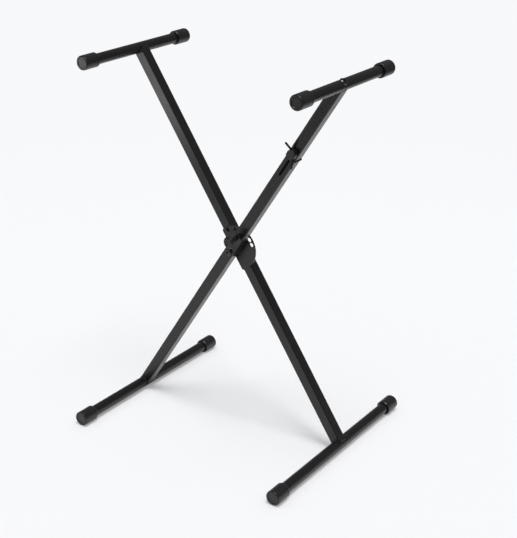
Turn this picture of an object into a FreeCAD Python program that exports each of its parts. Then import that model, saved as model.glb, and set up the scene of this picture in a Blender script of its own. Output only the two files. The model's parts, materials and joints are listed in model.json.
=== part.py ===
"""Folding single-X keyboard stand with a plate clutch, a pull pin and one levelling arm section.

Millimetres, +Z up.  The two arms cross in the XZ plane and pivot about a bolt along Y.
The front arm leans to the right, the rear arm to the left, and all four cross bars lie along Y.
The origin is on the floor, midway between the foot bars.
"""
import FreeCAD, Part
import math
import os

Vector = FreeCAD.Vector
X_AXIS = Vector(1, 0, 0)
Y_AXIS = Vector(0, 1, 0)
Z_AXIS = Vector(0, 0, 1)
ORIGIN = Vector(0, 0, 0)

# ---- driving dimensions --------------------------------------------------------------------
TOP_HALF_SPREAD = 310.0     # centre line to a top bar's axis
FOOT_HALF_SPREAD = 313.0    # centre line to a foot bar's axis
TOP_AXIS_HEIGHT = 964.0     # floor to the top bars' axes
ARM_SIZE = 28.0             # square arm tube, outside
ARM_WALL = 1.5
ARM_CORNER = 2.5            # outside corner radius of the arm tube
ARM_OFFSET = 17.4           # each arm's middle plane from Y = 0
SADDLE_DROP = 3.0           # arm's top end below the top bar's axis
TOP_BAR_RADIUS = 13.5
TOP_BAR_LENGTH = 392.0      # over the caps
TOP_CAP_RADIUS = 18.2
FOOT_BAR_RADIUS = 14.5
FOOT_BAR_LENGTH = 566.0     # over the caps
FOOT_CAP_RADIUS = 19.3
BAR_WALL = 1.5
CAP_LENGTH = 47.0
CAP_END_WALL = 7.0
CAP_RELIEF = 1.1            # gap round the bar at a cap's mouth
RUNNING = 0.05              # radial clearance of a turning or sliding fit
GAP = 0.3                   # clearance between pieces that move past each other

# ---- clutch plate and pull pin ---------------------------------------------------------------
PLATE_RADIUS = 59.5
PLATE_THICKNESS = 4.0
PLATE_CORNER = 6.0
PLATE_LIP = 0.5             # plate edge past the rear arm's left side
HOLE_CIRCLE = 51.3          # radius of the ring of locking holes
LOCK_HOLE_RADIUS = 6.0
LOCK_TURNS = (-61.4, -38.0, -19.0, 0.0, 19.8, 35.3)   # rear arm's turn at each hole, + lowers the stand
PIN_STROKE = 5.0
NOSE_RADIUS = 5.5
STEM_RADIUS = 4.0
GUIDE_RADIUS = 9.0          # the housing's body, through the arm
GUIDE_COLLAR = 12.0         # the housing's foot on the arm's face
HOUSING_FLATS = 20.0        # across the housing's hexagon
HOUSING_REACH = 16.0        # housing's end from the arm's face
CHAMBER_RADIUS = 7.0        # the spring's room inside the housing
CHAMBER_WALL = 3.0          # between that room and the housing's end
SHOULDER_SETBACK = 19.0     # from the pin's tip to the spring's shoulder
SHOULDER_THICKNESS = 3.0
PIN_STANDOFF = 1.4          # pulled pin's tip from the plate
SPRING_WIRE = 0.7           # radius of the wire
SPRING_COIL = 5.5           # radius of the coil's centre line
SPRING_TURNS = 4
KNOB_RADIUS = 15.5
KNOB_NECK = 8.0             # radius
KNOB_REACH = 41.0           # knob's face from the arm's face
KNOB_DOME = 4.0             # the face's fall from its ring to the rim
KNOB_CORE = 8.0             # the stem's depth inside the knob, from its face

# ---- pivot bolt --------------------------------------------------------------------------------
BOLT_RADIUS = 5.0
BOLT_HEAD = 9.0             # radius
BOLT_HEAD_HEIGHT = 5.4
BOLT_TAIL = 13.0            # thread past the rear arm's back
SLEEVE_RADIUS = 8.0
WASHER_RADIUS = 10.5
WASHER_THICKNESS = 1.6
THRUST_RADIUS = 17.0
NUT_FLATS = 17.0
NUT_HEIGHT = 7.5

# ---- levelling section, measured from the pivot along the front arm ----------------------------
JOINT_STATION = 335.0       # top end of the front arm's lower tube
COLLAR_THICKNESS = 4.0
COLLAR_PROUD = 2.2
SLIDE_TRAVEL = 50.0
SPIGOT_SIZE = ARM_SIZE - 2 * ARM_WALL - 0.7
SPIGOT_FOOT = 268.0
SPIGOT_TOP = 440.0
WELD_SLOT = (279.0, 331.0)  # ends of the slot in the lower tube's front wall
WELD_SLOT_WIDTH = 6.0
WELD_SINK = 1.1             # weld's face below the tube's
SCREW_STATION = 353.0
STUD_RADIUS = 4.0
STUD_DEPTH = 16.0           # stud's tip behind the tube's face
NUT_PLATE = (6.0, 16.0)     # the square clamp nut: thickness and height

# ---- wing screw: its wings run straight from the hub to their tips -------------------------------
WING_TURN = -48.0           # the wings' lean from the arm's direction, as drawn
WING_ROOT = (9.0, 4.0)      # radius and distance out from the hub's base, on the wing's middle line
WING_TIP = (30.5, 20.8)
WING_WIDTH = 4.4
WING_THICKNESS = 3.0
HUB_RADIUS = 12.0
HUB_LENGTH = 13.0
HUB_CORE = 4.0              # the stud's end below the hub's face

# ---- bolt through the right top bar, as radii about its own axis -----------------------------------
TOP_BOLT_HEAD = 9.5
TOP_BOLT_SINK = 4.2         # the head's skirt below the bar's crown
TOP_BOLT_CROWN = 3.0        # the head above the bar's crown
TOP_BOLT_SOCKET = 6.0       # across the flats
PLUG_LENGTH = 26.0

# ---- worked out from the above -------------------------------------------------------------------
FOOT_AXIS_HEIGHT = FOOT_CAP_RADIUS
RISE = TOP_AXIS_HEIGHT - FOOT_AXIS_HEIGHT
RUN = TOP_HALF_SPREAD + FOOT_HALF_SPREAD
TILT = math.degrees(math.atan2(RUN, RISE))          # each arm from the vertical
ARM_LENGTH = math.hypot(RUN, RISE)                  # bar axis to bar axis
TOP_REACH = ARM_LENGTH * TOP_HALF_SPREAD / RUN      # pivot to the top bar's axis
FOOT_REACH = ARM_LENGTH - TOP_REACH
PIVOT = Vector(0, 0, TOP_AXIS_HEIGHT - RISE * TOP_HALF_SPREAD / RUN)
HALF = ARM_SIZE / 2
FRONT_FACE = -ARM_OFFSET - HALF                     # Y of the front arm's front face
FRONT_BACK = -ARM_OFFSET + HALF
REAR_FRONT = ARM_OFFSET - HALF
REAR_BACK = ARM_OFFSET + HALF
PLATE_FRONT = REAR_FRONT - PLATE_THICKNESS
COLLAR_TOP = JOINT_STATION + COLLAR_THICKNESS
UPPER_START = COLLAR_TOP + GAP
HOUSING_FRONT = FRONT_FACE - HOUSING_REACH
CHAMBER_FRONT = HOUSING_FRONT + CHAMBER_WALL
NOSE_TIP = PLATE_FRONT - PIN_STANDOFF               # pulled out, as drawn
SHOULDER_BACK = NOSE_TIP - SHOULDER_SETBACK
SHOULDER_FRONT = SHOULDER_BACK - SHOULDER_THICKNESS
CHAMBER_BACK = SHOULDER_BACK + PIN_STROKE + GAP
KNOB_BACK = HOUSING_FRONT - PIN_STROKE - GAP
KNOB_FRONT = FRONT_FACE - KNOB_REACH
HUB_BASE = FRONT_FACE - GAP
HUB_END = HUB_BASE - HUB_LENGTH
STUD_START = HUB_END + HUB_CORE
HEAD_SEAT = FRONT_FACE - WASHER_THICKNESS           # under the pivot bolt's head
NUT_SEAT = REAR_BACK + GAP + WASHER_THICKNESS

parts = {}


# ---- shared shapes -----------------------------------------------------------------------------

def cylinder_y(radius, y0, y1, x=0.0, z=0.0):
    """A round bar along Y, between two Y positions."""
    return Part.makeCylinder(radius, y1 - y0, Vector(x, y0, z), Y_AXIS)


def cylinder_z(radius, z0, z1, x=0.0, y=0.0):
    """A round bar along Z, between two Z positions."""
    return Part.makeCylinder(radius, z1 - z0, Vector(x, y, z0), Z_AXIS)


def ring_y(outer, inner, y0, y1):
    """A washer or sleeve about the Y axis."""
    return cylinder_y(outer, y0, y1).cut(cylinder_y(inner, y0 - 1, y1 + 1))


def edges_along(shape, direction):
    """The straight edges of a shape that run along a direction."""
    found = []
    for edge in shape.Edges:
        if isinstance(edge.Curve, Part.Line) and abs(edge.tangentAt(edge.FirstParameter).dot(direction)) > 0.999:
            found.append(edge)
    return found


def round_edges(shape, radius, positions):
    """Fillet the circular edges about Y that pass through (radius, y) positions."""
    chosen = []
    for edge in shape.Edges:
        if not isinstance(edge.Curve, Part.Circle):
            continue
        for ring_radius, y in positions:
            same_place = abs(edge.Curve.Center.y - y) < 0.01
            if same_place and abs(edge.Curve.Radius - ring_radius) < 0.01:
                chosen.append(edge)
    return shape.makeFillet(radius, chosen)


def rounded_bar(size, corner, z0, z1, y_middle=0.0):
    """A solid square bar along Z with rounded corners."""
    bar = Part.makeBox(size, size, z1 - z0, Vector(-size / 2, y_middle - size / 2, z0))
    return bar.makeFillet(corner, edges_along(bar, Z_AXIS))


def square_tube(size, wall, corner, z0, z1, y_middle=0.0):
    """A square tube along Z, open at both ends."""
    outside = rounded_bar(size, corner, z0, z1, y_middle)
    inside = rounded_bar(size - 2 * wall, max(corner - wall, 0.6), z0 - 1, z1 + 1, y_middle)
    return outside.cut(inside)


def revolve_y(points):
    """Turn a closed (radius, y) outline about the Y axis."""
    wire = Part.makePolygon([Vector(radius, y, 0) for radius, y in points + points[:1]])
    return Part.Face(wire).revolve(ORIGIN, Y_AXIS, 360)


def hexagon_y(across_flats, y0, y1):
    """A hexagonal prism along Y."""
    corner = across_flats / math.sqrt(3)
    points = [Vector(corner * math.cos(math.radians(60 * k)), y0, corner * math.sin(math.radians(60 * k)))
              for k in range(7)]
    return Part.Face(Part.makePolygon(points)).extrude(Vector(0, y1 - y0, 0))


def on_arm(shape, tilt, station=0.0):
    """Move a shape drawn about the upright Z axis onto an arm, at a distance from the pivot."""
    moved = shape.copy()
    moved.translate(Vector(0, 0, station))
    moved.rotate(ORIGIN, Y_AXIS, tilt)
    moved.translate(PIVOT)
    return moved


def on_front_arm(shape, station=0.0):
    return on_arm(shape, TILT, station)


def on_rear_arm(shape, station=0.0):
    return on_arm(shape, -TILT, station)


# ---- arms --------------------------------------------------------------------------------------

def rear_arm_tube():
    """One tube from foot bar to top bar, each end cut to saddle its bar."""
    tube = square_tube(ARM_SIZE, ARM_WALL, ARM_CORNER, -FOOT_REACH, TOP_REACH - SADDLE_DROP, ARM_OFFSET)
    tube = tube.cut(cylinder_y(TOP_BAR_RADIUS, 0, REAR_BACK + 5, z=TOP_REACH))
    tube = tube.cut(cylinder_y(FOOT_BAR_RADIUS, 0, REAR_BACK + 5, z=-FOOT_REACH))
    tube = tube.cut(cylinder_y(SLEEVE_RADIUS, 0, REAR_BACK + 5))
    return on_rear_arm(tube)


def front_arm_tube():
    """The front arm below the levelling joint, with its pivot, pin and weld-slot openings."""
    tube = square_tube(ARM_SIZE, ARM_WALL, ARM_CORNER, -FOOT_REACH, JOINT_STATION, -ARM_OFFSET)
    tube = tube.cut(cylinder_y(FOOT_BAR_RADIUS, FRONT_FACE - 5, 0, z=-FOOT_REACH))
    tube = tube.cut(cylinder_y(SLEEVE_RADIUS, FRONT_FACE - 5, 0))
    tube = tube.cut(cylinder_y(GUIDE_RADIUS, FRONT_FACE - 5, 0, z=HOLE_CIRCLE))
    tube = tube.cut(slot_cutter(WELD_SLOT, WELD_SLOT_WIDTH, FRONT_FACE - 1, FRONT_FACE + ARM_WALL + 1))
    return on_front_arm(tube)


def slot_cutter(ends, width, y0, y1):
    """A round-ended slot along Z, cut through along Y."""
    low = ends[0] + width / 2
    high = ends[1] - width / 2
    middle = Part.makeBox(width, y1 - y0, high - low, Vector(-width / 2, y0, low))
    return middle.fuse([cylinder_y(width / 2, y0, y1, z=low), cylinder_y(width / 2, y0, y1, z=high)])


def upper_arm_tube():
    """The sliding top section: a saddle for the bar above and the clamp screw's hole below."""
    tube = square_tube(ARM_SIZE, ARM_WALL, ARM_CORNER, UPPER_START, TOP_REACH - SADDLE_DROP, -ARM_OFFSET)
    tube = tube.cut(cylinder_y(TOP_BAR_RADIUS, FRONT_FACE - 5, 0, z=TOP_REACH))
    screw_hole = cylinder_y(STUD_RADIUS + RUNNING, FRONT_FACE - 5, FRONT_FACE + 5, z=SCREW_STATION)
    return on_front_arm(tube.cut(screw_hole))


# ---- levelling joint ---------------------------------------------------------------------------

def slide_spigot():
    """The inner tube that the top section slides on, slotted for the clamp screw."""
    tube = square_tube(SPIGOT_SIZE, ARM_WALL, ARM_CORNER - 1, SPIGOT_FOOT, SPIGOT_TOP, -ARM_OFFSET)
    slot_half = STUD_RADIUS + GAP
    slot_ends = (SCREW_STATION - slot_half - 1, SCREW_STATION + SLIDE_TRAVEL + slot_half + 1)
    return on_front_arm(tube.cut(slot_cutter(slot_ends, 2 * slot_half, FRONT_FACE, -ARM_OFFSET)))


def spigot_slot_weld():
    """The sunken weld bead that fills the lower tube's slot down to the spigot."""
    spigot_front = -ARM_OFFSET - SPIGOT_SIZE / 2
    return on_front_arm(slot_cutter(WELD_SLOT, WELD_SLOT_WIDTH, FRONT_FACE + WELD_SINK, spigot_front))


def joint_collar():
    """The plastic ring round the spigot that the top section comes down on."""
    ring_size = ARM_SIZE + 2 * COLLAR_PROUD
    ring = rounded_bar(ring_size, ARM_CORNER + COLLAR_PROUD, JOINT_STATION, COLLAR_TOP, -ARM_OFFSET)
    rims = [edge for edge in ring.Edges if abs(edge.BoundBox.ZLength) < 0.01]
    ring = ring.makeChamfer(0.7, rims)
    bore = rounded_bar(SPIGOT_SIZE, ARM_CORNER - 1, JOINT_STATION - 1, COLLAR_TOP + 1, -ARM_OFFSET)
    return on_front_arm(ring.cut(bore))


# ---- cross bars and caps -----------------------------------------------------------------------

def bar_tube(radius, length):
    """A round cross bar: its tube stops against the caps' end walls."""
    half = length / 2 - CAP_END_WALL
    return cylinder_y(radius, -half, half).cut(cylinder_y(radius - BAR_WALL, -half - 1, half + 1))


def end_cap(bar_radius, cap_radius, bar_length, side):
    """A rubber cap on one end of a bar: blunt relieved mouth, rounded rim and a dished end."""
    mouth = bar_length / 2 - CAP_LENGTH
    end = bar_length / 2
    relief = bar_radius + CAP_RELIEF
    dish = cap_radius - 5.5
    outline = [
        (bar_radius, mouth + 3.5), (relief, mouth + 3.5), (relief, mouth), (cap_radius - 1.0, mouth),
        (cap_radius, mouth + 2.0), (cap_radius, end), (dish, end), (dish - 1.2, end - 1.6),
        (0, end - 1.6), (0, end - CAP_END_WALL), (bar_radius, end - CAP_END_WALL),
    ]
    cap = round_edges(revolve_y(outline), 3.6, [(cap_radius, end)])
    if side < 0:
        cap.rotate(ORIGIN, Z_AXIS, 180)
    return cap


def right_top_bar():
    """The bolted top bar, drilled along the arm for its bolt."""
    bar = bar_tube(TOP_BAR_RADIUS, TOP_BAR_LENGTH)
    bore = cylinder_z(STUD_RADIUS, -TOP_BAR_RADIUS - 2, TOP_BAR_RADIUS + 2, y=-ARM_OFFSET)
    return on_front_arm(bar.cut(bore), TOP_REACH)


def top_bar_plug():
    """The threaded block inside the top section's end, under the bar."""
    top = -TOP_BAR_RADIUS
    block = rounded_bar(ARM_SIZE - 2 * ARM_WALL, ARM_CORNER - ARM_WALL, top - PLUG_LENGTH, top + 6, -ARM_OFFSET)
    block = block.cut(cylinder_y(TOP_BAR_RADIUS, FRONT_FACE, 0))
    block = block.cut(cylinder_z(STUD_RADIUS, top - PLUG_LENGTH - 1, top + 10, y=-ARM_OFFSET))
    return on_front_arm(block, TOP_REACH)


def top_bar_bolt():
    """The flanged button-head bolt down through the bar into the plug, its seat hollowed to the bar."""
    seat = TOP_BAR_RADIUS - TOP_BOLT_SINK
    crown = TOP_BAR_RADIUS + TOP_BOLT_CROWN
    shoulder = TOP_BOLT_HEAD - 3.0
    head = revolve_y([(0, seat), (TOP_BOLT_HEAD, seat), (TOP_BOLT_HEAD, crown - 2.4), (shoulder, crown), (0, crown)])
    head = round_edges(head, 1.2, [(shoulder, crown)])
    head = head.cut(hexagon_y(TOP_BOLT_SOCKET, crown - 2.6, crown + 1))
    head.rotate(ORIGIN, X_AXIS, 90)
    head = head.cut(cylinder_y(TOP_BAR_RADIUS, -20, 20))
    shank = cylinder_z(STUD_RADIUS, -TOP_BAR_RADIUS - PLUG_LENGTH + 4, TOP_BAR_RADIUS)
    bolt = head.fuse(shank).removeSplitter()
    bolt.translate(Vector(0, -ARM_OFFSET, 0))
    return on_front_arm(bolt, TOP_REACH)


# ---- clutch plate and pivot ----------------------------------------------------------------------

def clutch_plate():
    """A half-round plate on the rear arm, drilled with one locking hole for each setting."""
    plate = cylinder_y(PLATE_RADIUS, PLATE_FRONT, REAR_FRONT)
    keep = Part.makeBox(PLATE_RADIUS + 20, 20, 2 * PLATE_RADIUS + 20,
                        Vector(-HALF - PLATE_LIP, PLATE_FRONT - 5, -PLATE_RADIUS - 10))
    plate = plate.common(keep)
    plate = plate.makeFillet(PLATE_CORNER, edges_along(plate, Y_AXIS))
    plate = plate.cut(cylinder_y(SLEEVE_RADIUS, PLATE_FRONT - 1, REAR_FRONT + 1))
    plate.rotate(ORIGIN, Y_AXIS, -TILT)
    for turn in LOCK_TURNS:
        angle = math.radians(90 - TILT - turn)
        plate = plate.cut(cylinder_y(LOCK_HOLE_RADIUS, PLATE_FRONT - 1, REAR_FRONT + 1,
                                     HOLE_CIRCLE * math.cos(angle), HOLE_CIRCLE * math.sin(angle)))
    plate.translate(PIVOT)
    return plate


def front_pivot_sleeve():
    """The crush sleeve through the front arm, tight on the bolt."""
    return on_front_arm(ring_y(SLEEVE_RADIUS, BOLT_RADIUS, FRONT_FACE, FRONT_BACK))


def rear_pivot_sleeve():
    """The bearing sleeve through the plate and the rear arm, which turns on the bolt."""
    return on_rear_arm(ring_y(SLEEVE_RADIUS, BOLT_RADIUS + RUNNING, PLATE_FRONT, REAR_BACK))


def pivot_thrust_washer():
    """The plastic washer between the front arm and the clutch plate."""
    return on_front_arm(ring_y(THRUST_RADIUS, BOLT_RADIUS, FRONT_BACK, PLATE_FRONT - GAP))


def pivot_head_washer():
    return on_front_arm(ring_y(WASHER_RADIUS, BOLT_RADIUS, HEAD_SEAT, FRONT_FACE))


def pivot_nut_washer():
    return on_front_arm(ring_y(WASHER_RADIUS, BOLT_RADIUS, REAR_BACK + GAP, NUT_SEAT))


def pivot_bolt():
    """A button-head bolt with a hexagon socket, right through both arms."""
    crown = HEAD_SEAT - BOLT_HEAD_HEIGHT
    shoulder = BOLT_HEAD - 2.8
    end = REAR_BACK + BOLT_TAIL
    outline = [
        (0, crown), (shoulder, crown), (BOLT_HEAD, HEAD_SEAT - 2.0), (BOLT_HEAD, HEAD_SEAT),
        (BOLT_RADIUS, HEAD_SEAT), (BOLT_RADIUS, end - 0.8), (BOLT_RADIUS - 0.8, end), (0, end),
    ]
    bolt = round_edges(revolve_y(outline), 1.5, [(shoulder, crown)])
    return on_front_arm(bolt.cut(hexagon_y(6.0, crown - 1, HEAD_SEAT - 1.8)))


def pivot_lock_nut():
    """A hexagon nut with chamfered corners and a round nylon-ring crown."""
    top = NUT_SEAT + NUT_HEIGHT
    corner = NUT_FLATS / math.sqrt(3)
    body = hexagon_y(NUT_FLATS, NUT_SEAT, top)
    cone = revolve_y([(0, NUT_SEAT), (corner - 0.8, NUT_SEAT), (corner + 0.1, NUT_SEAT + 0.9),
                      (corner + 0.1, top - 0.9), (corner - 0.8, top), (0, top)])
    crown = revolve_y([(0, top - 0.5), (7.6, top - 0.5), (7.6, top + 1.6), (6.7, top + 2.5), (0, top + 2.5)])
    nut = body.common(cone).fuse(crown)
    return on_front_arm(nut.cut(cylinder_y(BOLT_RADIUS, NUT_SEAT - 1, top + 4)).removeSplitter())


# ---- pull pin ------------------------------------------------------------------------------------

def pull_pin_housing():
    """A guide bush through the arm with a hexagon outside; it holds the pin and its spring."""
    foot = FRONT_FACE - 3.0
    outside = revolve_y([
        (0, HOUSING_FRONT), (GUIDE_RADIUS - 1.2, HOUSING_FRONT), (GUIDE_RADIUS, HOUSING_FRONT + 1.2),
        (GUIDE_RADIUS, foot), (GUIDE_COLLAR - 0.8, foot), (GUIDE_COLLAR, foot + 0.8),
        (GUIDE_COLLAR, FRONT_FACE), (GUIDE_RADIUS, FRONT_FACE), (GUIDE_RADIUS, FRONT_BACK), (0, FRONT_BACK),
    ])
    body = outside.fuse(hexagon_y(HOUSING_FLATS, foot - 8, foot))
    body = body.cut(cylinder_y(CHAMBER_RADIUS, CHAMBER_FRONT, CHAMBER_BACK))
    body = body.cut(cylinder_y(NOSE_RADIUS + RUNNING, CHAMBER_BACK - 1, FRONT_BACK + 1))
    body = body.cut(cylinder_y(STEM_RADIUS + RUNNING, HOUSING_FRONT - 1, CHAMBER_FRONT + 1))
    return on_front_arm(body.removeSplitter(), HOLE_CIRCLE)


def pull_pin():
    """The locking pin: tapered nose, shoulder for the spring and a thinner stem to the knob."""
    shoulder = CHAMBER_RADIUS - GAP
    stem_end = KNOB_FRONT + KNOB_CORE
    outline = [
        (0, NOSE_TIP), (NOSE_RADIUS - 1.2, NOSE_TIP), (NOSE_RADIUS, NOSE_TIP - 2.5),
        (NOSE_RADIUS, SHOULDER_BACK), (shoulder, SHOULDER_BACK), (shoulder, SHOULDER_FRONT),
        (STEM_RADIUS, SHOULDER_FRONT), (STEM_RADIUS, stem_end), (0, stem_end),
    ]
    return on_front_arm(revolve_y(outline), HOLE_CIRCLE)


def pull_pin_spring():
    """The compression spring round the stem, between the housing's end and the shoulder."""
    first = CHAMBER_FRONT + SPRING_WIRE + GAP
    last = SHOULDER_FRONT - SPRING_WIRE - GAP
    climb = (last - first) / (4 * SPRING_TURNS)

    def on_coil(quarter):
        angle = math.radians(90 * quarter)
        return Vector(SPRING_COIL * math.cos(angle), first + climb * quarter, SPRING_COIL * math.sin(angle))

    half_turns = [Part.Arc(on_coil(start), on_coil(start + 1), on_coil(start + 2)).toShape()
                  for start in range(0, 4 * SPRING_TURNS, 2)]
    section = Part.Wire(Part.makeCircle(SPRING_WIRE, on_coil(0), Z_AXIS))
    spring = Part.Wire(half_turns).makePipeShell([section], True, False)
    return on_front_arm(spring, HOLE_CIRCLE)


def pull_pin_knob():
    """A mushroom knob: dished face inside a raised ring, rounded rim, cone down to the neck."""
    ring = KNOB_RADIUS - 5.5
    rim = KNOB_FRONT + KNOB_DOME
    outline = [
        (0, KNOB_FRONT + 1.2), (ring - 3.0, KNOB_FRONT + 1.2), (ring, KNOB_FRONT), (ring + 1.5, KNOB_FRONT),
        (KNOB_RADIUS, rim), (KNOB_RADIUS, rim + 2.5), (KNOB_NECK, KNOB_BACK - 4), (KNOB_NECK, KNOB_BACK),
        (0, KNOB_BACK),
    ]
    knob = revolve_y(outline)
    knob = round_edges(knob, 1.1, [(KNOB_RADIUS, rim), (KNOB_RADIUS, rim + 2.5)])
    knob = knob.cut(cylinder_y(STEM_RADIUS, KNOB_FRONT + KNOB_CORE, KNOB_BACK + 1))
    return on_front_arm(knob, HOLE_CIRCLE)


# ---- wing screw --------------------------------------------------------------------------------

def wing_blade(side):
    """One straight wing with a round tip, slanting out from the hub and away from the arm."""
    root = Vector(side * WING_ROOT[0], HUB_BASE - WING_ROOT[1], 0)
    tip = Vector(side * WING_TIP[0], HUB_BASE - WING_TIP[1], 0)
    along = (tip - root).normalize()
    across = Vector(-along.y, along.x, 0) * (WING_WIDTH / 2)
    edges = [
        Part.LineSegment(root - across, tip - across).toShape(),
        Part.Arc(tip - across, tip + along * (WING_WIDTH / 2), tip + across).toShape(),
        Part.LineSegment(tip + across, root + across).toShape(),
        Part.LineSegment(root + across, root - across).toShape(),
    ]
    blade = Part.Face(Part.Wire(edges)).extrude(Vector(0, 0, WING_THICKNESS))
    blade.translate(Vector(0, 0, -WING_THICKNESS / 2))
    return blade


def wing_screw_grip():
    """The moulded hub with its two wings."""
    hub = revolve_y([(0, HUB_BASE), (HUB_RADIUS - 0.6, HUB_BASE), (HUB_RADIUS, HUB_BASE - 0.6),
                     (HUB_RADIUS, HUB_END), (0, HUB_END)])
    hub = round_edges(hub, 1.8, [(HUB_RADIUS, HUB_END)])
    grip = hub.fuse([wing_blade(1), wing_blade(-1)]).removeSplitter()
    grip = grip.cut(cylinder_y(STUD_RADIUS, STUD_START, HUB_BASE + 1))
    grip.rotate(ORIGIN, Y_AXIS, WING_TURN - 90)
    return on_front_arm(grip, SCREW_STATION)


def wing_screw_stud():
    """The screw's stud, through the wall and the spigot's slot into the clamp nut."""
    end = FRONT_FACE + STUD_DEPTH
    outline = [(0, STUD_START), (STUD_RADIUS, STUD_START), (STUD_RADIUS, end - 1), (STUD_RADIUS - 1, end), (0, end)]
    return on_front_arm(revolve_y(outline), SCREW_STATION)


def clamp_nut():
    """The square nut inside the spigot, which the wing screw draws up against the slot."""
    thickness, height = NUT_PLATE
    inside_front = -ARM_OFFSET - SPIGOT_SIZE / 2 + ARM_WALL
    width = SPIGOT_SIZE - 2 * ARM_WALL - 2 * GAP
    plate = Part.makeBox(width, thickness, height, Vector(-width / 2, inside_front + GAP, -height / 2))
    plate = plate.makeFillet(1.0, edges_along(plate, Y_AXIS))
    return on_front_arm(plate.cut(cylinder_y(STUD_RADIUS + RUNNING, inside_front - 1, 0)), SCREW_STATION)


# ---- assembly ------------------------------------------------------------------------------------

def placed(shape, x, z):
    moved = shape.copy()
    moved.translate(Vector(x, 0, z))
    return moved


def add_bar(name, shape, x, z):
    parts[name + "_bar"] = placed(shape, x, z)


def add_caps(name, bar_radius, cap_radius, bar_length, x, z):
    for end, side in (("front", -1), ("back", 1)):
        cap = end_cap(bar_radius, cap_radius, bar_length, side)
        parts[name + "_cap_" + end] = placed(cap, x, z)


parts["front_arm_tube"] = front_arm_tube()
parts["rear_arm_tube"] = rear_arm_tube()
parts["upper_arm_tube"] = upper_arm_tube()
parts["slide_spigot"] = slide_spigot()
parts["spigot_slot_weld"] = spigot_slot_weld()
parts["joint_collar"] = joint_collar()

top_tube = bar_tube(TOP_BAR_RADIUS, TOP_BAR_LENGTH)
foot_tube = bar_tube(FOOT_BAR_RADIUS, FOOT_BAR_LENGTH)
add_bar("left_top", top_tube, -TOP_HALF_SPREAD, TOP_AXIS_HEIGHT)
add_bar("left_foot", foot_tube, -FOOT_HALF_SPREAD, FOOT_AXIS_HEIGHT)
add_bar("right_foot", foot_tube, FOOT_HALF_SPREAD, FOOT_AXIS_HEIGHT)
parts["right_top_bar"] = right_top_bar()
for side_name, side_sign in (("left", -1), ("right", 1)):
    add_caps(side_name + "_top", TOP_BAR_RADIUS, TOP_CAP_RADIUS, TOP_BAR_LENGTH,
             side_sign * TOP_HALF_SPREAD, TOP_AXIS_HEIGHT)
    add_caps(side_name + "_foot", FOOT_BAR_RADIUS, FOOT_CAP_RADIUS, FOOT_BAR_LENGTH,
             side_sign * FOOT_HALF_SPREAD, FOOT_AXIS_HEIGHT)

parts["top_bar_plug"] = top_bar_plug()
parts["top_bar_bolt"] = top_bar_bolt()
parts["clutch_plate"] = clutch_plate()
parts["front_pivot_sleeve"] = front_pivot_sleeve()
parts["rear_pivot_sleeve"] = rear_pivot_sleeve()
parts["pivot_thrust_washer"] = pivot_thrust_washer()
parts["pivot_head_washer"] = pivot_head_washer()
parts["pivot_nut_washer"] = pivot_nut_washer()
parts["pivot_bolt"] = pivot_bolt()
parts["pivot_lock_nut"] = pivot_lock_nut()
parts["pull_pin_housing"] = pull_pin_housing()
parts["pull_pin"] = pull_pin()
parts["pull_pin_spring"] = pull_pin_spring()
parts["pull_pin_knob"] = pull_pin_knob()
parts["wing_screw_grip"] = wing_screw_grip()
parts["wing_screw_stud"] = wing_screw_stud()
parts["clamp_nut"] = clamp_nut()

os.makedirs("parts", exist_ok=True)
for name, shape in parts.items():
    if len(shape.Solids) != 1 or not shape.isValid():
        print("check", name, "solids", len(shape.Solids), "valid", shape.isValid())
    shape.exportStep("parts/" + name + ".step")

print("pieces", len(parts), "tilt", round(TILT, 3), "pivot height", round(PIVOT.z, 3),
      "top reach", round(TOP_REACH, 3), "foot reach", round(FOOT_REACH, 3))
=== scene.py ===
"""Looks of a folding keyboard stand in black powder coat, on a pale studio floor.

Metres, +Z up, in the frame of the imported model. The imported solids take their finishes, four weld
beads are added, and the stand is set on a lit floor.
"""
import json
import math

import bpy
from mathutils import Matrix, Vector


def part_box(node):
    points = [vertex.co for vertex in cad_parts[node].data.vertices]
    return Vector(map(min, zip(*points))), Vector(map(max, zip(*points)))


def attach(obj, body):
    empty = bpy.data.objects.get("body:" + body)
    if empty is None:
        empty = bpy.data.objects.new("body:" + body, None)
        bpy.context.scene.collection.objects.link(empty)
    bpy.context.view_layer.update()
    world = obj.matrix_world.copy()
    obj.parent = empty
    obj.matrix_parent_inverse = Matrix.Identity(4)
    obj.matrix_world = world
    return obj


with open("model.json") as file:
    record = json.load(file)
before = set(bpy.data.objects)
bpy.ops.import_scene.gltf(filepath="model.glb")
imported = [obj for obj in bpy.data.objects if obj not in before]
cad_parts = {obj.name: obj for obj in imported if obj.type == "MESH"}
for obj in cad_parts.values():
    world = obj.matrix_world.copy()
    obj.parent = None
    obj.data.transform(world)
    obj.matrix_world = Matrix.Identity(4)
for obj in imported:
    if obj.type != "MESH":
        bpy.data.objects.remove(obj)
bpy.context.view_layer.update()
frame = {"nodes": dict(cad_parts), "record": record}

NODES = frame["nodes"]
JOINTS = {joint["name"]: joint for joint in frame["record"]["behaviour"]["joints"]}

# ---- places read from the frame --------------------------------------------------------------
PIVOT = Vector(JOINTS["fold"]["pos_m"])
FRONT_UP = Vector(JOINTS["level_slide"]["axis"]).normalized()       # along the front arm, upwards
FRONT_SIDE = Vector((FRONT_UP.z, 0, -FRONT_UP.x))                   # across it, to the lower right
REAR_UP = Vector((-FRONT_UP.x, 0, FRONT_UP.z))                      # along the rear arm, upwards
REAR_SIDE = Vector((FRONT_UP.z, 0, FRONT_UP.x))                     # across it, to the upper right

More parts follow.
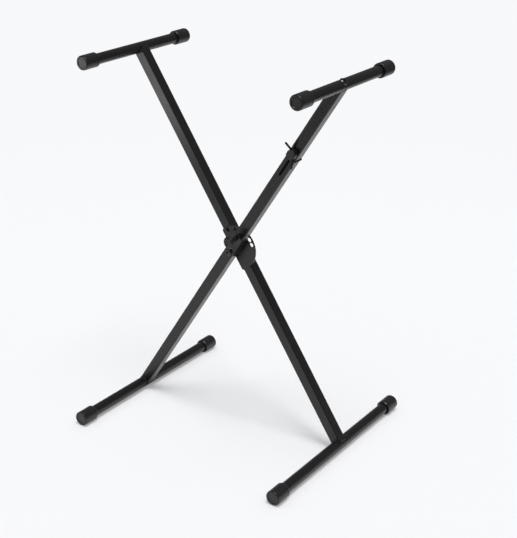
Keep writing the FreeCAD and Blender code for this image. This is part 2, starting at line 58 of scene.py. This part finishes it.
# ---- camera, found by fitting the stand's edges in the photograph ----------------------------
CAMERA_TURN = math.radians(35.970)
CAMERA_RISE = math.radians(23.521)
CAMERA_ROLL = math.radians(-0.183)
CAMERA_DISTANCE = 3.0299
CAMERA_TARGET = Vector((-0.0009, 0.0971, 0.4008))
CAMERA_LENS = 76.93         # millimetres, on a sensor of this width
SENSOR_WIDTH = 36.0

# ---- weld beads ------------------------------------------------------------------------------
ARM_BEAD_RADIUS = 0.0021
RIM_BEAD_RADIUS = 0.0015
BEAD_RESOLUTION = 2
RIPPLE_MIDDLE = 0.86        # the radius swings about this share of the full one
RIPPLE_SWING = 0.14
RIPPLE_STEP = 2.1           # radians of the swing from one point of the bead to the next
MERGE_DISTANCE = 0.00002
SMOOTH_BELOW = math.radians(50)
SEAM_SIZE = 0.0268          # the line of an arm's bead runs a little inside the 28 mm tube
SEAM_CORNER = 0.0024
SEAM_CORNER_STEPS = 4
SEAM_CUTS = 11
SEAM_START = 0.025          # from the bar's middle, before the line is pressed onto the bar
RIM_RADIUS = 0.0595         # the clutch plate's rim
RIM_STEPS = 240
RIM_REACH = 0.0125          # how far a rim bead goes to either side of the arm's middle line

# ---- studio ----------------------------------------------------------------------------------
BACKDROP = (0.935, 0.940, 0.952, 1.0)
PALE_FLOOR = (0.88, 0.885, 0.895, 1.0)      # the lit floor round the stand
DARK_FLOOR = (0.12, 0.12, 0.123, 1.0)       # what the stand mirrors of the unlit floor farther off
DIM_ROOM = (0.10, 0.10, 0.103, 1.0)         # the world as a light
LIT_SHARE = 0.72            # how much of the near floor looks lit: the rest glows like the backdrop
MIRROR_SHARE = 0.12         # how much of the backdrop gloss and glass see: the studio is dim above
FLOOR_SIZE = 40.0
FLOOR_ROUGHNESS = 0.9
LIT_UP_TO = 1.2             # the floor is fully lit this near to the stand's middle
DARK_FROM = 3.0             # and unlit from here on
LAMP_HEIGHT = 4.0

# ---- finishes --------------------------------------------------------------------------------
FAINT_BLUE = 1.10                           # blue against red and green in every finish
TONE_ONE, TONE_TWO, TONE_OUT = 6, 7, 2      # the colour sockets of a Mix node, by their place


# ---- small helpers ---------------------------------------------------------------------------

def deselect_all():
    if bpy.context.object and bpy.context.object.mode != "OBJECT":
        bpy.ops.object.mode_set(mode="OBJECT")
    bpy.ops.object.select_all(action="DESELECT")


def select_only(piece):
    deselect_all()
    piece.select_set(True)
    bpy.context.view_layer.objects.active = piece


def apply_place(piece):
    select_only(piece)
    bpy.ops.object.transform_apply(location=True, rotation=True, scale=True)


def box_middle(node):
    low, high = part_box(node)
    return (Vector(low) + Vector(high)) / 2


# ---- node groups shared by the finishes ------------------------------------------------------

def colour_mix(tree):
    """A Mix node for two colours."""
    node = tree.nodes.new("ShaderNodeMix")
    node.data_type = "RGBA"
    return node


def new_group(name, inputs, outputs):
    """An empty shader group with named sockets: (name, type, default) in, (name, type) out."""
    group = bpy.data.node_groups.new(name, "ShaderNodeTree")
    for socket_name, socket_type, default in inputs:
        socket = group.interface.new_socket(socket_name, in_out="INPUT", socket_type=socket_type)
        if default is not None:
            socket.default_value = default
    for socket_name, socket_type in outputs:
        group.interface.new_socket(socket_name, in_out="OUTPUT", socket_type=socket_type)
    entry = group.nodes.new("NodeGroupInput")
    leave = group.nodes.new("NodeGroupOutput")
    return group, entry, leave


def surface_relief_group():
    """Fine lumps of a sprayed or moulded skin, as a height from two sizes of noise."""
    group, entry, leave = new_group(
        "surface_relief",
        [("Coordinates", "NodeSocketVector", None), ("Fine Scale", "NodeSocketFloat", 900.0),
         ("Broad Scale", "NodeSocketFloat", 220.0), ("Broad Share", "NodeSocketFloat", 0.35)],
        [("Height", "NodeSocketFloat")])
    fine = group.nodes.new("ShaderNodeTexNoise")
    fine.inputs["Detail"].default_value = 2.0
    broad = group.nodes.new("ShaderNodeTexNoise")
    broad.inputs["Detail"].default_value = 1.0
    blend = group.nodes.new("ShaderNodeMix")
    links = group.links
    links.new(entry.outputs["Coordinates"], fine.inputs["Vector"])
    links.new(entry.outputs["Coordinates"], broad.inputs["Vector"])
    links.new(entry.outputs["Fine Scale"], fine.inputs["Scale"])
    links.new(entry.outputs["Broad Scale"], broad.inputs["Scale"])
    links.new(entry.outputs["Broad Share"], blend.inputs["Factor"])
    links.new(fine.outputs["Fac"], blend.inputs["A"])
    links.new(broad.outputs["Fac"], blend.inputs["B"])
    links.new(blend.outputs["Result"], leave.inputs["Height"])
    return group


def uneven_gloss_group():
    """Roughness that drifts between two values in soft patches."""
    group, entry, leave = new_group(
        "uneven_gloss",
        [("Coordinates", "NodeSocketVector", None), ("Patch Scale", "NodeSocketFloat", 14.0),
         ("Smooth", "NodeSocketFloat", 0.25), ("Rough", "NodeSocketFloat", 0.35)],
        [("Roughness", "NodeSocketFloat")])
    noise = group.nodes.new("ShaderNodeTexNoise")
    noise.inputs["Detail"].default_value = 4.0
    spread = group.nodes.new("ShaderNodeMapRange")
    spread.inputs["From Min"].default_value = 0.32
    spread.inputs["From Max"].default_value = 0.68
    links = group.links
    links.new(entry.outputs["Coordinates"], noise.inputs["Vector"])
    links.new(entry.outputs["Patch Scale"], noise.inputs["Scale"])
    links.new(noise.outputs["Fac"], spread.inputs["Value"])
    links.new(entry.outputs["Smooth"], spread.inputs["To Min"])
    links.new(entry.outputs["Rough"], spread.inputs["To Max"])
    links.new(spread.outputs["Result"], leave.inputs["Roughness"])
    return group


def tone_drift_group():
    """A colour that drifts between two close tones."""
    group, entry, leave = new_group(
        "tone_drift",
        [("Coordinates", "NodeSocketVector", None), ("Scale", "NodeSocketFloat", 30.0),
         ("Tone One", "NodeSocketColor", (0.02, 0.02, 0.02, 1)),
         ("Tone Two", "NodeSocketColor", (0.03, 0.03, 0.03, 1))],
        [("Color", "NodeSocketColor")])
    noise = group.nodes.new("ShaderNodeTexNoise")
    noise.inputs["Detail"].default_value = 5.0
    blend = colour_mix(group)
    links = group.links
    links.new(entry.outputs["Coordinates"], noise.inputs["Vector"])
    links.new(entry.outputs["Scale"], noise.inputs["Scale"])
    links.new(noise.outputs["Fac"], blend.inputs["Factor"])
    links.new(entry.outputs["Tone One"], blend.inputs[TONE_ONE])
    links.new(entry.outputs["Tone Two"], blend.inputs[TONE_TWO])
    links.new(blend.outputs[TONE_OUT], leave.inputs["Color"])
    return group


RELIEF = surface_relief_group()
GLOSS = uneven_gloss_group()
TONES = tone_drift_group()


# ---- materials -------------------------------------------------------------------------------

def grey(value):
    """A grey with the faint blue of black powder coat, nylon and zinc."""
    return (value, value, value * FAINT_BLUE, 1.0)


def add_group(material, group, values):
    """Places a shared group, fed with Object coordinates and its own values."""
    tree = material.node_tree
    place = tree.nodes.new("ShaderNodeTexCoord")
    node = tree.nodes.new("ShaderNodeGroup")
    node.node_tree = group
    tree.links.new(place.outputs["Object"], node.inputs["Coordinates"])
    for name, value in values.items():
        node.inputs[name].default_value = value
    return node


def finish_material(name, tones, tone_scale, gloss, relief, bump_depth, metallic=0.0,
                    specular=0.45):
    """A Principled surface built from the three shared groups.

    tones: two colours; gloss: (smooth, rough, patch scale); relief: (fine, broad, broad share).
    """
    material = bpy.data.materials.new(name)
    material.use_nodes = True
    tree = material.node_tree
    shader = tree.nodes["Principled BSDF"]
    shader.inputs["Metallic"].default_value = metallic
    shader.inputs["Specular IOR Level"].default_value = specular
    colour = add_group(material, TONES,
                       {"Scale": tone_scale, "Tone One": tones[0], "Tone Two": tones[1]})
    rough = add_group(material, GLOSS,
                      {"Smooth": gloss[0], "Rough": gloss[1], "Patch Scale": gloss[2]})
    lumps = add_group(material, RELIEF,
                      {"Fine Scale": relief[0], "Broad Scale": relief[1], "Broad Share": relief[2]})
    bump = tree.nodes.new("ShaderNodeBump")
    bump.inputs["Strength"].default_value = 1.0
    bump.inputs["Distance"].default_value = bump_depth
    tree.links.new(colour.outputs["Color"], shader.inputs["Base Color"])
    tree.links.new(rough.outputs["Roughness"], shader.inputs["Roughness"])
    tree.links.new(lumps.outputs["Height"], bump.inputs["Height"])
    tree.links.new(bump.outputs["Normal"], shader.inputs["Normal"])
    return material


def powder_coat():
    """Black semi-gloss powder coat on the tubes, bars, clutch plate and weld beads."""
    return finish_material(
        "black_powder_coat", tones=(grey(0.006), grey(0.010)), tone_scale=40.0,
        gloss=(0.22, 0.32, 9.0), relief=(700.0, 260.0, 0.5), bump_depth=0.00006)


def cap_rubber():
    """Matt moulded rubber of the end caps."""
    return finish_material(
        "black_cap_rubber", tones=(grey(0.008), grey(0.012)), tone_scale=60.0,
        gloss=(0.30, 0.42, 25.0), relief=(1600.0, 500.0, 0.3), bump_depth=0.00008, specular=0.5)


def moulded_nylon():
    """Satin black nylon of the knob, wing grip, collar and thrust washer."""
    return finish_material(
        "black_moulded_nylon", tones=(grey(0.007), grey(0.011)), tone_scale=80.0,
        gloss=(0.30, 0.42, 60.0), relief=(1400.0, 500.0, 0.3), bump_depth=0.00003)


def zinc_plate():
    """Bright zinc on the pin, spring, spigot, sleeves, nuts, plug and the wing screw's stud."""
    return finish_material(
        "bright_zinc_plate", tones=(grey(0.55), grey(0.66)), tone_scale=300.0,
        gloss=(0.20, 0.34, 120.0), relief=(1200.0, 400.0, 0.4), bump_depth=0.00003, metallic=1.0)


def black_oxide():
    """Oily black oxide on the two bolts, the pivot's two steel washers and the pin's housing."""
    return finish_material(
        "black_oxide_steel", tones=(grey(0.06), grey(0.09)), tone_scale=300.0,
        gloss=(0.26, 0.38, 120.0), relief=(1200.0, 400.0, 0.4), bump_depth=0.00002, metallic=1.0)


def slot_painted_shade():
    """Painted shade in the bed of the sunken slot weld: a darker, duller black than the powder coat,
    so the slot reads as shaded.
    """
    return finish_material(
        "black_slot_painted_shade", tones=(grey(0.002), grey(0.004)), tone_scale=400.0,
        gloss=(0.80, 0.95, 90.0), relief=(900.0, 400.0, 0.5), bump_depth=0.0002, specular=0.08)


FINISHES = {
    "black_paint": powder_coat(),
    "black_rubber": cap_rubber(),
    "black_plastic": moulded_nylon(),
    "bright_steel": zinc_plate(),
    "black_steel": black_oxide(),
}


def dress(piece, slot):
    """Gives a piece its slot's finish alone."""
    piece.data.materials.clear()
    piece.data.materials.append(FINISHES[slot])


def dress_frame():
    """Every node takes the finish of its recorded slot, and the slot weld's bed a painted shade."""
    for subpart in frame["record"]["subparts"]:
        dress(NODES[subpart["node"]], subpart["material_slot"])
    # painted shade: a darker, duller black in the slot weld's bed stands in for the shade inside the
    # slot
    NODES["spigot_slot_weld"].data.materials[0] = slot_painted_shade()


# ---- weld beads ------------------------------------------------------------------------------

def finish_piece(piece, name, slot, body):
    piece.name = name
    apply_place(piece)
    dress(piece, slot)
    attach(piece, body)


def tube_outline(middle, across, along):
    """The edge loop of a square tube: a plane set across the tube, its corners rounded."""
    deselect_all()
    bpy.ops.mesh.primitive_plane_add(size=SEAM_SIZE)
    loop = bpy.context.object
    bpy.ops.object.mode_set(mode="EDIT")
    bpy.ops.mesh.select_all(action="SELECT")
    bpy.ops.mesh.bevel(offset=SEAM_CORNER, segments=SEAM_CORNER_STEPS, affect="VERTICES")
    bpy.ops.mesh.delete(type="ONLY_FACE")
    bpy.ops.mesh.select_all(action="SELECT")
    bpy.ops.mesh.subdivide(number_cuts=SEAM_CUTS)
    bpy.ops.object.mode_set(mode="OBJECT")
    turn = Matrix((across, Vector((0, 1, 0)), along)).transposed().to_4x4()
    loop.matrix_world = Matrix.Translation(middle) @ turn
    return loop


def press_onto(loop, node):
    """Moves the loop along the tube until it lies on the bar's surface."""
    select_only(loop)
    wrap = loop.modifiers.new("seat", "SHRINKWRAP")
    wrap.target = NODES[node]
    wrap.wrap_method = "PROJECT"
    wrap.use_project_z = True
    wrap.use_positive_direction = True
    bpy.ops.object.modifier_apply(modifier="seat")


def bead_along(loop, radius):
    """Turns a line of edges into a rippled round bead."""
    select_only(loop)
    bpy.ops.object.convert(target="CURVE")
    curve = bpy.context.object.data
    curve.bevel_depth = radius
    curve.bevel_resolution = BEAD_RESOLUTION
    curve.use_fill_caps = True
    for spline in curve.splines:
        for index, point in enumerate(spline.points):
            point.radius = RIPPLE_MIDDLE + RIPPLE_SWING * math.cos(index * RIPPLE_STEP)
    bpy.ops.object.convert(target="MESH")
    bead = bpy.context.object
    bpy.ops.object.mode_set(mode="EDIT")
    bpy.ops.mesh.select_all(action="SELECT")
    bpy.ops.mesh.remove_doubles(threshold=MERGE_DISTANCE)
    bpy.ops.mesh.normals_make_consistent(inside=False)
    bpy.ops.object.mode_set(mode="OBJECT")
    bpy.ops.object.shade_smooth_by_angle(angle=SMOOTH_BELOW)
    return bead


def arm_weld(bar, arm, side, up, body):
    """The bead where an arm is welded to its cross bar; up points from the arm to the bar."""
    bar_middle = box_middle(bar)
    middle = Vector((bar_middle.x, box_middle(arm).y, bar_middle.z)) - SEAM_START * up
    loop = tube_outline(middle, side, up)
    press_onto(loop, bar)
    finish_piece(bead_along(loop, ARM_BEAD_RADIUS), bar + "_weld", "black_paint", body)


def plate_weld():
    """Two short beads where the clutch plate's rim crosses the rear arm's front face."""
    arm_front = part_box("rear_arm_tube")[0][1]
    deselect_all()
    bpy.ops.mesh.primitive_circle_add(vertices=RIM_STEPS, radius=RIM_RADIUS,
                                      rotation=(math.pi / 2, 0, 0),
                                      location=(PIVOT.x, arm_front, PIVOT.z))
    loop = bpy.context.object
    apply_place(loop)
    bpy.ops.object.mode_set(mode="EDIT")
    bpy.ops.mesh.select_all(action="DESELECT")
    bpy.ops.object.mode_set(mode="OBJECT")
    for vertex in loop.data.vertices:
        vertex.select = abs((vertex.co - PIVOT).dot(REAR_SIDE)) > RIM_REACH
    bpy.ops.object.mode_set(mode="EDIT")
    bpy.ops.mesh.delete(type="VERT")
    bpy.ops.object.mode_set(mode="OBJECT")
    bead = bead_along(loop, RIM_BEAD_RADIUS)
    finish_piece(bead, "clutch_plate_weld", "black_paint", "rear_arm")


def weld_beads():
    arm_weld("left_top_bar", "rear_arm_tube", REAR_SIDE, REAR_UP, "rear_arm")
    arm_weld("right_foot_bar", "rear_arm_tube", -REAR_SIDE, -REAR_UP, "rear_arm")
    arm_weld("left_foot_bar", "front_arm_tube", -FRONT_SIDE, -FRONT_UP, "front_arm")
    plate_weld()


# ---- studio ----------------------------------------------------------------------------------

def math_node(tree, operation, first, second):
    """A Math node; each input is a socket to link or a plain number."""
    node = tree.nodes.new("ShaderNodeMath")
    node.operation = operation
    for index, value in enumerate((first, second)):
        if isinstance(value, float):
            node.inputs[index].default_value = value
        else:
            tree.links.new(value, node.inputs[index])
    return node.outputs["Value"]


def shader_mix(tree, share, first, second):
    """The first shader, and the second one by share."""
    node = tree.nodes.new("ShaderNodeMixShader")
    tree.links.new(share, node.inputs["Fac"])
    tree.links.new(first, node.inputs[1])
    tree.links.new(second, node.inputs[2])
    return node.outputs["Shader"]


def rays_to_backdrop(tree):
    """1 for camera rays and a small share for gloss and glass, otherwise 0."""
    path = tree.nodes.new("ShaderNodeLightPath")
    mirrored = math_node(tree, "ADD", path.outputs["Is Glossy Ray"],
                         path.outputs["Is Transmission Ray"])
    share = math_node(tree, "MULTIPLY", mirrored, MIRROR_SHARE)
    return math_node(tree, "MAXIMUM", path.outputs["Is Camera Ray"], share)


def near_the_stand(tree):
    """1 on the lit floor round the stand, falling to 0 where the studio floor lies in the dark."""
    place = tree.nodes.new("ShaderNodeTexCoord")
    distance = tree.nodes.new("ShaderNodeVectorMath")
    distance.operation = "LENGTH"
    fall = tree.nodes.new("ShaderNodeMapRange")
    fall.interpolation_type = "SMOOTHSTEP"
    fall.inputs["From Min"].default_value = LIT_UP_TO
    fall.inputs["From Max"].default_value = DARK_FROM
    fall.inputs["To Min"].default_value = 1.0
    fall.inputs["To Max"].default_value = 0.0
    tree.links.new(place.outputs["Object"], distance.inputs[0])
    tree.links.new(distance.outputs["Value"], fall.inputs["Value"])
    return fall.outputs["Result"]


def floor_material():
    """Keeps the soft shadows near the stand and runs out into the backdrop for the camera."""
    material = bpy.data.materials.new("pale_floor")
    material.use_nodes = True
    tree = material.node_tree
    shader = tree.nodes["Principled BSDF"]
    shader.inputs["Roughness"].default_value = FLOOR_ROUGHNESS
    shader.inputs["Specular IOR Level"].default_value = 0.0
    glow = tree.nodes.new("ShaderNodeEmission")
    glow.inputs["Color"].default_value = BACKDROP
    near = near_the_stand(tree)
    seen = tree.nodes.new("ShaderNodeLightPath").outputs["Is Camera Ray"]
    tone = colour_mix(tree)
    tone.inputs[TONE_ONE].default_value = DARK_FLOOR
    tone.inputs[TONE_TWO].default_value = PALE_FLOOR
    tree.links.new(math_node(tree, "MAXIMUM", near, seen), tone.inputs["Factor"])
    tree.links.new(tone.outputs[TONE_OUT], shader.inputs["Base Color"])
    lit_share = math_node(tree, "MULTIPLY", near, LIT_SHARE)
    glow_share = math_node(tree, "SUBTRACT", 1.0, lit_share)
    surface = shader_mix(tree, math_node(tree, "MULTIPLY", seen, glow_share),
                         shader.outputs["BSDF"], glow.outputs["Emission"])
    tree.links.new(surface, tree.nodes["Material Output"].inputs["Surface"])
    return material


def studio_floor():
    deselect_all()
    bpy.ops.mesh.primitive_plane_add(size=FLOOR_SIZE, location=(0, 0, 0))
    floor = bpy.context.object
    floor.name = "studio_floor"
    floor.data.materials.append(floor_material())


def studio_world():
    """Pale to the camera, dim grey as a light."""
    world = bpy.data.worlds.new("studio")
    bpy.context.scene.world = world
    world.use_nodes = True
    tree = world.node_tree
    soft = tree.nodes["Background"]
    soft.inputs["Color"].default_value = DIM_ROOM
    seen = tree.nodes.new("ShaderNodeBackground")
    seen.inputs["Color"].default_value = BACKDROP
    surface = shader_mix(tree, rays_to_backdrop(tree),
                         soft.outputs["Background"], seen.outputs["Background"])
    tree.links.new(surface, tree.nodes["World Output"].inputs["Surface"])


def add_to_scene(name, data):
    """The object that holds a lamp or the camera."""
    holder = bpy.data.objects.new(name, data)
    bpy.context.scene.collection.objects.link(holder)
    return holder


def facing(direction):
    """The turn that points a lamp along a direction."""
    return direction.to_track_quat("-Z", "Y").to_euler()


def soft_box(name, place, aim, size, power):
    """A square card pointed at a place: it shows in gloss and leaves no light on the floor."""
    lamp = bpy.data.lights.new(name, "AREA")
    lamp.shape = "SQUARE"
    lamp.size = size
    lamp.energy = power
    holder = add_to_scene(name, lamp)
    holder.location = place
    holder.rotation_euler = facing(Vector(aim) - Vector(place))
    holder.visible_camera = False
    holder.visible_diffuse = False


def overhead_lamp(name, strength, spread, fall, mirrored):
    """An even light along fall; its spread in degrees softens the shadows' edges.

    mirrored: whether gloss shows the lamp as a highlight.
    """
    lamp = bpy.data.lights.new(name, "SUN")
    lamp.energy = strength
    lamp.angle = math.radians(spread)
    holder = add_to_scene(name, lamp)
    holder.location = -LAMP_HEIGHT * Vector(fall)
    holder.rotation_euler = facing(Vector(fall))
    holder.visible_glossy = mirrored


def studio_lights():
    overhead_lamp("key_lamp", strength=1.95, spread=24.0, fall=(-0.19, 0.12, -0.99), mirrored=True)
    overhead_lamp("ceiling_glow", strength=1.2, spread=120.0, fall=(0, 0, -1), mirrored=False)
    soft_box("left_card", place=(-1.00, -1.08, 0.69), aim=(-0.28, 0.0, 0.92), size=0.66, power=4.0)


def studio_camera():
    """Looks at its target from the photograph's side, height and distance, with a slight roll."""
    back = Vector((math.sin(CAMERA_TURN) * math.cos(CAMERA_RISE),
                   -math.cos(CAMERA_TURN) * math.cos(CAMERA_RISE), math.sin(CAMERA_RISE)))
    level = Vector((0, 0, 1)).cross(back).normalized()
    upright = back.cross(level)
    right = level * math.cos(CAMERA_ROLL) + upright * math.sin(CAMERA_ROLL)
    up = back.cross(right)
    camera = bpy.data.cameras.new("camera")
    camera.lens = CAMERA_LENS
    camera.sensor_width = SENSOR_WIDTH
    holder = add_to_scene("camera", camera)
    turn = Matrix((right, up, back)).transposed().to_4x4()
    holder.matrix_world = Matrix.Translation(CAMERA_TARGET + back * CAMERA_DISTANCE) @ turn
    bpy.context.scene.camera = holder


# ---- the scene -------------------------------------------------------------------------------
dress_frame()
weld_beads()
studio_floor()
studio_world()
studio_lights()
studio_camera()
bpy.context.scene.view_settings.view_transform = "Standard"
